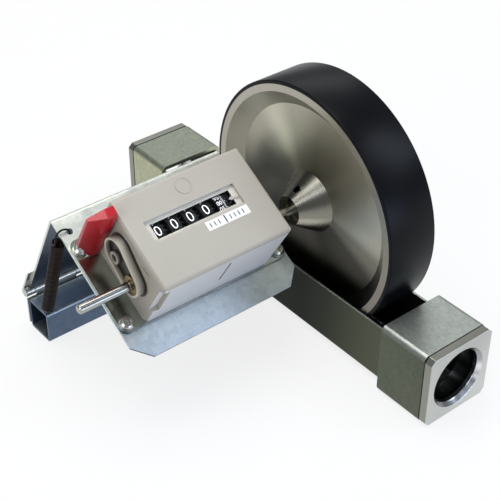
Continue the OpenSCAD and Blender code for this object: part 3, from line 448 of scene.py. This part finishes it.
# The brightness pairs give painted highlights and painted shade round the axis.
bush_face = turned_metal("bush_face", "#dcdfdc", "#b9bcb8", 0.24, 0.42, (0, 0, 0), "X",
                         ((-179, 0.9), (-120, 0.9), (-60, 1.0), (0, 0.9), (60, 0.75), (120, 0.8),
                          (179, 0.9)), toned=True)
bush_bore = turned_metal("bush_bore", "#f4f5f8", "#d0d2d8", 0.2, 0.3, (0, 0, 0), "X",
                         ((-179, 0.35), (-120, 0.3), (-98, 0.5), (-88, 1.0), (-80, 0.6), (-68, 1.0),
                          (-58, 0.7), (-48, 1.0), (-38, 0.6), (-30, 1.0), (-22, 0.6), (-8, 1.0),
                          (10, 0.5), (60, 0.3), (179, 0.35)), toned=True)
bore_mouth_r = 20.27 * MM
flange_rim_r = 21.72 * MM
# seam is how far from a seat the painted shade of the seam reaches.
seam, seam_cut = 0.85 * MM, 0.05 * MM
far_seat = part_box("far_end_box")[1].y


def seat_tone(point, normal):
    """Painted shade: dark in the seam between a flange and its box, and darker on the flange's rim."""
    if min(abs(point.y), abs(point.y - far_seat)) < seam:
        return (0.02, 0.02, 0.02)
    edge = between(1 - abs(normal.y), 0.5, 0.9) * (math.hypot(point.x, point.z) > flange_rim_r)
    return shade((1, 1, 1), (0.5, 0.49, 0.44), edge)


def bush_part(point, normal):
    """The flange, or the bore with its mouth."""
    return int(math.hypot(point.x, point.z) < bore_mouth_r)


seam_cuts = [((0, y, 0), (0, 1, 0)) for y in (-seam + seam_cut, -seam - seam_cut,
                                              far_seat + seam - seam_cut, far_seat + seam + seam_cut)]
for node in ("near_guide_bush", "far_guide_bush"):
    dress(node, [bush_face, bush_bore], "machined", 0.45, seat_tone, bush_part, seam_cuts)

tyre_low, tyre_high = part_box("tyre")
axle = (tyre_low + tyre_high) / 2
# The brightness pairs give painted highlights and painted shade round the axis.
web_metal = turned_metal("web_metal", "#dcd8c6", "#a8a595", 0.28, 0.44, axle, "Y",
                         ((-179, 0.8), (-165, 0.34), (-150, 0.1), (-120, 0.06), (-90, 0.12), (-50, 0.2),
                          (0, 0.5), (35, 0.7), (54, 1.0), (72, 0.65), (93, 0.6), (115, 0.8), (140, 1.0),
                          (160, 0.9), (172, 0.84)))
hub_metal = turned_metal("hub_metal", "#c8c6b8", "#a5a293", 0.2, 0.34, axle, "Y",
                         ((-179, 0.5), (-165, 0.9), (-150, 0.8), (-130, 0.3), (-90, 0.3), (0, 0.3),
                          (70, 0.5), (85, 0.12), (100, 0.1), (118, 0.6), (128, 1.0), (140, 0.35),
                          (161, 0.4), (179, 0.5)))
rim_metal = turned_metal("rim_metal", "#bcb8ad", "#9e9a90", 0.28, 0.42, axle, "Y",
                         ((-179, 0.6), (-150, 0.5), (-120, 0.7), (-60, 0.8), (0, 0.9), (60, 1.0),
                          (100, 0.95), (140, 0.8), (179, 0.6)))
hub_r = 21.5 * MM
rim_side_x = abs(tyre_low.x) - 0.4 * MM


def wheel_part(point, normal):
    """The web and the rim's slope, the hub, or the rim's flat sides."""
    if math.hypot(point.y - axle.y, point.z - axle.z) < hub_r:
        return 1
    return 2 if abs(point.x) > rim_side_x else 0


dress("wheel_disc", [web_metal, hub_metal, rim_metal], "machined", 0.3, pick=wheel_part)


# ---- Tyre ----
# A smooth black rubber band, spun round the axle from its flat section, with round edges.
mottle, source, result = shader_group("mottle", {"Clouds per metre": 30.0, "Grains per metre": 2600.0})
clouds = texture(mottle, "ShaderNodeTexNoise", source.outputs["Clouds per metre"], 4)
grains = texture(mottle, "ShaderNodeTexNoise", source.outputs["Grains per metre"], 2)
spread(mottle, source, result, clouds.outputs[0], grains.outputs[0])

tyre_rubber = surface("tyre_rubber", mottle, "#0c0e12", "#07080a", 0.28, 0.38, relief=(0.1, 0.02))
tyre_rubber.node_tree.nodes["Principled BSDF"].inputs["Specular IOR Level"].default_value = 0.1
tyre_r = (tyre_high.z - tyre_low.z) / 2
tyre_inner_r = tyre_r - 2.3 * MM
tyre_edge = 0.7 * MM
tyre_steps = 240
bm = bmesh.new()
section = [bm.verts.new((x, axle.y, axle.z + r))
           for x, r in ((tyre_low.x, tyre_inner_r), (tyre_low.x, tyre_r),
                        (tyre_high.x, tyre_r), (tyre_high.x, tyre_inner_r))]
outline = [bm.edges.new((section[i], section[(i + 1) % 4])) for i in range(4)]
bmesh.ops.spin(bm, geom=section + outline, cent=axle, axis=(1, 0, 0), angle=2 * math.pi, steps=tyre_steps,
               use_merge=True, use_duplicate=False)
bmesh.ops.recalc_face_normals(bm, faces=bm.faces)
rims = [e for e in bm.edges if len(e.link_faces) == 2 and e.calc_face_angle(0) > 1
        and math.hypot(e.verts[0].co.y - axle.y, e.verts[0].co.z - axle.z) > tyre_r - MM]
bmesh.ops.bevel(bm, geom=rims, offset=tyre_edge, offset_type="OFFSET", segments=3, profile=0.5,
                affect="EDGES", clamp_overlap=True, material=-1)
for face in bm.faces:
    face.smooth = True
tyre = make_piece("tyre_band", bm, 40)
tyre.data.materials.append(tyre_rubber)
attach(tyre, "wheel")
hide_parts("tyre")


# ---- Bright steel: shafts, axles, hinge, screws, washers and nuts ----
# Drawn or turned steel parts, bright and only lightly scratched. The axles inside the counter
# keep their plain solids.
bright_steel = surface("bright_steel", mottle, "#c9c9c5", "#b2b2ac", 0.2, 0.3, 1.0, relief=(0.03, 0.01),
                       Clouds_per_metre=250.0)
shaft_steel = surface("shaft_steel", mottle, "#b4b4ad", "#94948e", 0.18, 0.28, 1.0, relief=(0.03, 0.01),
                      Clouds_per_metre=90.0)


def coat(node, material):
    """Gives a CAD node its material and leaves its solid as it is."""
    nodes[node].data.materials.clear()
    nodes[node].data.materials.append(material)


for node, made, edge in (("main_shaft", shaft_steel, 0.1), ("plate_screws", bright_steel, 0.12),
                         ("plate_washers", bright_steel, 0.1), ("plate_nuts", bright_steel, 0.15),
                         ("hinge_leaf_tube", bright_steel, 0.12), ("hinge_leaf_arm", bright_steel, 0.12),
                         ("hinge_pin", bright_steel, 0.2)):
    dress(node, [made], "steel", edge)
for node in ("drum_axle", "pinion_axle", "reset_shaft"):
    coat(node, bright_steel)


# ---- Pressure spring ----
# A close-wound extension spring of dark oiled wire. Its lower hook is caught in the cross tube
# and its upper hook goes over the bracket's edge and down through a hole.
dark_wire = surface("dark_wire", mottle, "#2a211c", "#0e0b0a", 0.25, 0.4, 0.8, relief=(0.1, 0.02),
                    Clouds_per_metre=120.0)
wire_r = 0.625 * MM
coil_r = 3.375 * MM
coil_pitch = 1.7 * MM
coil_turns = 39.5
curl_points = 8
coil_x = -152.5 * MM
coil_top_gap = 6.5 * MM
sideways = Vector((1, 0, 0))
tube_catch = Vector((-150, 200, -3)) * MM
roof_catch = Vector((-145.3, 173.441, 70.107)) * MM
rise = Vector((0, roof_catch.y - tube_catch.y, roof_catch.z - tube_catch.z)).normalized()
aside = rise.cross(sideways)
coil_top = Vector((coil_x, roof_catch.y, roof_catch.z)) - coil_top_gap * rise
coil_foot = coil_top - coil_turns * coil_pitch * rise
lower_hook = ((3.9, 0, -4), (3.7, 0, -5.6), (2.6, 0, -6.8), (1.1, 0, -6.5), (0.2, 0, -5), (0, 0, -3),
              (0, 0, -1.2), (0.2, -0.6, 0.5), (0.6, -1.4, 1.8))
upper_hook = ((-9.9, 0, -2), (-9.2, 0, 0.4), (-7.8, 0, 2.3), (-5.7, 0, 3.2), (-3.5, 0, 3), (-1.3, 0, 1.9),
              (-0.2, 0.15, 0), (0, 0.4, -2), (0.1, 0.8, -4.1))


def coil_point(step):
    """A point of the coil, counted in eighths of a curl from its foot."""
    turn = 2 * math.pi * step / curl_points
    return (coil_foot + rise * coil_pitch * step / curl_points
            + coil_r * math.cos(turn) * sideways + coil_r * math.sin(turn) * aside)


def as_mesh(curve, name):
    """A curve or text made into a mesh with its doubled points joined."""
    drawn = bpy.data.objects.new(name, curve)
    bpy.context.scene.collection.objects.link(drawn)
    bpy.context.view_layer.update()
    mesh = bpy.data.meshes.new_from_object(drawn.evaluated_get(bpy.context.evaluated_depsgraph_get()))
    bpy.data.objects.remove(drawn)
    bpy.data.curves.remove(curve)
    bm = bmesh.new()
    bm.from_mesh(mesh)
    bpy.data.meshes.remove(mesh)
    bmesh.ops.remove_doubles(bm, verts=bm.verts, dist=1e-7)
    return bm


coil_steps = int(coil_turns * curl_points)
wire_line = [tube_catch + Vector(p) * MM for p in lower_hook]
wire_line.append(coil_point(0) - (aside + 0.9 * rise) * MM)
wire_line += [coil_point(step) for step in range(coil_steps + 1)]
wire_line.append(coil_point(coil_steps) - (aside - 0.9 * rise) * MM)
wire_line += [roof_catch + Vector(p) * MM for p in upper_hook]
curve = bpy.data.curves.new("spring_line", "CURVE")
curve.dimensions = "3D"
curve.resolution_u = 3
curve.bevel_depth = wire_r
curve.bevel_resolution = 2
curve.use_fill_caps = True
strand = curve.splines.new("BEZIER")
strand.bezier_points.add(len(wire_line) - 1)
for knot, point in zip(strand.bezier_points, wire_line):
    knot.co = point
    knot.handle_left_type = knot.handle_right_type = "AUTO"
bm = as_mesh(curve, "spring_line")
for face in bm.faces:
    face.smooth = True
spring = make_piece("pressure_spring_wire", bm, 60)
spring.data.materials.append(dark_wire)
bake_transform(spring)
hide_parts("pressure_spring")


# ---- Counter housing and its side boss ----
# Warm grey moulded plastic with a fine grain. The housing is one shell with a recessed window.
# The boss on its left side carries the bush of the main shaft; its pocket carries painted shade
# and its rim a painted highlight. The housing's front face carries a painted cool light, and its
# left side and slots painted shade.
boss_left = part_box("side_boss")[0].x
boss_depth = 5.9 * MM
arm_lean = math.radians(31)
arm_frame = Matrix.Translation(axle) @ Matrix.Rotation(arm_lean, 4, "X")
to_arm = arm_frame.inverted()
any_place = (-math.inf, math.inf)
front_slot = ((-89.6, -87.4), (-17.5, -16.5), any_place)
side_slot = ((-136.2, -135.3), (-math.inf, 3), (13.9, 16.1))


def boss_tone(point, normal):
    """Painted highlight on the boss's rim and painted shade in its pocket."""
    depth = point.x - boss_left
    inside = between(depth, 0.4 * MM, 2.2 * MM) * between(boss_depth - depth, 0, 0.5 * MM)
    return shade((1.15, 1.12, 1.02), (0.04, 0.035, 0.03), inside)


def case_tone(point, normal):
    """Painted light and shade: a painted cool light makes the front face bright and bluish, painted
    shade darkens the left side and fills both slots, and the rest is a slightly darker warm grey.
    The slots are ranges in mm, in the arm's own frame."""
    spot = [c / MM for c in to_arm @ point]
    if any(all(low < c < high for c, (low, high) in zip(spot, slot)) for slot in (front_slot, side_slot)):
        return (0.04, 0.04, 0.04)
    if normal.x < -0.5:
        return (0.66, 0.64, 0.6)
    front = between(-normal.y, 0.45, 0.8) * between(-normal.z, 0.2, 0.45)
    return shade((0.86, 0.85, 0.82), (1.22, 1.28, 1.44), front)


grey_plastic = surface("grey_plastic", mottle, "#bcb8ae", "#b2ada3", 0.42, 0.52, relief=(0.3, 0.03),
                       toned=True)
boss_plastic = surface("boss_plastic", mottle, "#a8a49b", "#989389", 0.36, 0.46, relief=(0.3, 0.03),
                       toned=True)
for node, edge in (("counter_housing", 0.3), ("window_mask", 0.1), ("index_pointer", 0.1)):
    dress(node, [grey_plastic], "grey_plastic", edge, case_tone)
dress("side_boss", [boss_plastic], "grey_plastic", 0.4, boss_tone)


# ---- Window ----
# A clear pane pressed into the recess, over the digits. Light for the drums passes through it
# without a shadow.
clear_pane = surface("clear_pane", mottle, "#ffffff", "#f6f8fa", 0.02, 0.06, relief=(0.02, 0.01))
tree = clear_pane.node_tree
shader = tree.nodes["Principled BSDF"]
shader.inputs["Transmission Weight"].default_value = 1.0
shader.inputs["IOR"].default_value = 1.12
open_air = add_node(tree, "ShaderNodeBsdfTransparent")
path = add_node(tree, "ShaderNodeLightPath")
both = add_node(tree, "ShaderNodeMixShader", (path.outputs["Is Shadow Ray"], shader.outputs[0],
                                              open_air.outputs[0]))
feed(tree, both.outputs[0], tree.nodes["Material Output"].inputs["Surface"])
coat("window_lens", clear_pane)


# ---- Number drums ----
# Black drums with white printed figures, which turn behind the window. Four count whole metres,
# and the last one centimetres, with small pairs of figures and a scale of ticks beside them.
black_drum = surface("black_drum", mottle, "#0c0c0d", "#070707", 0.45, 0.55, relief=(0.1, 0.02))
black_drum.node_tree.nodes["Principled BSDF"].inputs["Specular IOR Level"].default_value = 0.2
white_ink = surface("white_ink", mottle, "#f6f6f3", "#e6e6e2", 0.45, 0.6, relief=(0.1, 0.01))
axis_low, axis_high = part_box("drum_axle")
drum_y, drum_z = (axis_low.y + axis_high.y) / 2, (axis_low.z + axis_high.z) / 2
drum_low, drum_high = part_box("drum_1000")
drum_r = (drum_high.z - drum_low.z) / 2
printed_wide = 7.6 * MM
ink = 0.06 * MM
read_from = 87
strip_tall = 0.9 * MM
figure_wide, one_wide, figure_tall = 3.7 * MM, 1.4 * MM, 6.3 * MM
pair_wide, pair_tall, pair_at = 3.4 * MM, 2.6 * MM, 2.4 * MM
long_tick, short_tick, tick_tall, ticks_from = 1.8 * MM, 1.1 * MM, 0.2 * MM, 4.6 * MM


def figures(body, width, height, bold):
    """Figures as a thin plate round the origin, of the given size and cut into short strips so
    that it can be bent."""
    curve = bpy.data.curves.new("figures", "FONT")
    curve.body = body
    curve.extrude = 0.5
    curve.offset = bold
    curve.resolution_u = 4
    bm = as_mesh(curve, "figures")
    low = [min(v.co[i] for v in bm.verts) for i in range(3)]
    high = [max(v.co[i] for v in bm.verts) for i in range(3)]
    size = (width, height, ink)
    for vert in bm.verts:
        vert.co = [((vert.co[i] - low[i]) / (high[i] - low[i]) - 0.5) * size[i] for i in range(3)]
    strips = max(2, int(height / strip_tall))
    for k in range(1, strips):
        bmesh.ops.bisect_plane(bm, geom=bm.verts[:] + bm.edges[:] + bm.faces[:], dist=1e-7,
                               plane_co=(0, height * (k / strips - 0.5), 0), plane_no=(0, 1, 0))
    return bm


def tick(width, height):
    """A small flat bar of ink."""
    bm = bmesh.new()
    bmesh.ops.create_cube(bm, size=1, matrix=Matrix.Diagonal((width, height, ink, 1)))
    return bm


def print_on_drum(node, marks):
    """Bends marks, each with its own place along the drum and its angle, round the drum."""
    whole = bmesh.new()
    for bm, along, degrees in marks:
        way = arm_lean + math.radians(read_from + degrees)
        for vert in bm.verts:
            x, y, z = vert.co
            turn = way - y / drum_r
            radius = drum_r + 0.5 * ink + z
            vert.co = (along + x, drum_y + radius * math.cos(turn), drum_z + radius * math.sin(turn))
        mark = bpy.data.meshes.new("mark")
        bm.to_mesh(mark)
        bm.free()
        whole.from_mesh(mark)
        bpy.data.meshes.remove(mark)
    bmesh.ops.recalc_face_normals(whole, faces=whole.faces)
    piece = make_piece(node + "_figures", whole)
    piece.data.materials.append(white_ink)
    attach(piece, node + "_body")


for node in ("drum_1000", "drum_100", "drum_10", "drum_1"):
    coat(node, black_drum)
    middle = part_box(node)[0].x + printed_wide / 2
    print_on_drum(node, [(figures(str(k), one_wide if k == 1 else figure_wide, figure_tall, -0.012),
                          middle, 36 * k) for k in range(10)])
coat("drum_cm", black_drum)
drum_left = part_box("drum_cm")[0].x
pairs = [(figures("%02d" % (5 * k), pair_wide, pair_tall, 0.0), drum_left + pair_at, 18 * k)
         for k in range(20)]
scale = []
for k in range(100):
    length = short_tick if k % 5 else long_tick
    scale.append((tick(length, tick_tall), drum_left + ticks_from + length / 2, 3.6 * k))
print_on_drum("drum_cm", pairs + scale)


# ---- Label ----
# A small white plate glued in front of the window, with a black bar that parts the metres from
# the centimetres and plain ticks on both sides.
white_label = surface("white_label", mottle, "#f3f3f1", "#e4e4e2", 0.4, 0.55, relief=(0.1, 0.01))
coat("unit_label", white_label)
black_ink = surface("black_ink", mottle, "#101010", "#060606", 0.4, 0.55, relief=(0.1, 0.01))
corners = [to_arm @ vert.co for vert in nodes["unit_label"].data.vertices]
label_low = [min(c[i] for c in corners) for i in range(3)]
label_high = [max(c[i] for c in corners) for i in range(3)]
label_v = (label_low[1] + label_high[1]) / 2
bar_at, bar_wide, bar_tall = 0.44, 0.8 * MM, 4.9 * MM
mark_wide, mark_tall = 0.6 * MM, 2.9 * MM
marks_at = [0.09 + 0.1 * k for k in range(3)] + [0.56 + 0.1 * k for k in range(4)]
whole = bmesh.new()
for share, wide, tall in [(bar_at, bar_wide, bar_tall)] + [(at, mark_wide, mark_tall) for at in marks_at]:
    x = label_low[0] + share * (label_high[0] - label_low[0])
    spot = arm_frame @ Matrix.Translation((x, label_v, label_high[2] + 0.3 * ink))
    bmesh.ops.create_cube(whole, size=1, matrix=spot @ Matrix.Diagonal((wide, tall, ink, 1)))
label_ticks = make_piece("label_ticks", whole)
label_ticks.data.materials.append(black_ink)
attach(label_ticks, "arm")


# ---- Brass bushes and drive gear ----
# Turned bearings of dark bronze that the shaft runs in, and the gear that drives the last drum.
turned_brass = surface("turned_brass", mottle, "#8f7a4c", "#5f5136", 0.25, 0.4, 1.0, relief=(0.1, 0.02),
                       Clouds_per_metre=150.0)
for node in ("left_bush", "right_bush", "drive_gear"):
    dress(node, [turned_brass], "brass", 0.15)


# ---- Carry pinions ----
# Small pale plastic pinions between the drums, which turn on an axle of their own.
pale_nylon = surface("pale_nylon", mottle, "#e4e0d4", "#d2cec2", 0.35, 0.5)
for node in ("pinion_1000", "pinion_100", "pinion_10", "pinion_1"):
    coat(node, pale_nylon)


# ---- Set screw ----
# A black grub screw in the hub, which holds the wheel on its shaft. It has the same oiled
# finish as the spring's wire.
coat("set_screw", dark_wire)


# ---- Reset lever ----
# A glossy red moulded paddle on the counter's left side, with round edges. Painted shade darkens
# it towards its foot, so that its top looks lit.
lever_low, lever_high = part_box("reset_lever")
lever_dark_z = lever_low.z + 0.25 * (lever_high.z - lever_low.z)


def lever_tone(point, normal):
    """Painted shade: lighter on top and darker down to the foot."""
    return shade((0.55, 0.55, 0.55), (1, 1, 1), between(point.z, lever_dark_z, lever_high.z))


red_lever = surface("red_lever", mottle, "#c02630", "#a91d27", 0.14, 0.24, relief=(0.1, 0.02), toned=True)
dress("reset_lever", [red_lever], "red_plastic", 0.8, lever_tone)
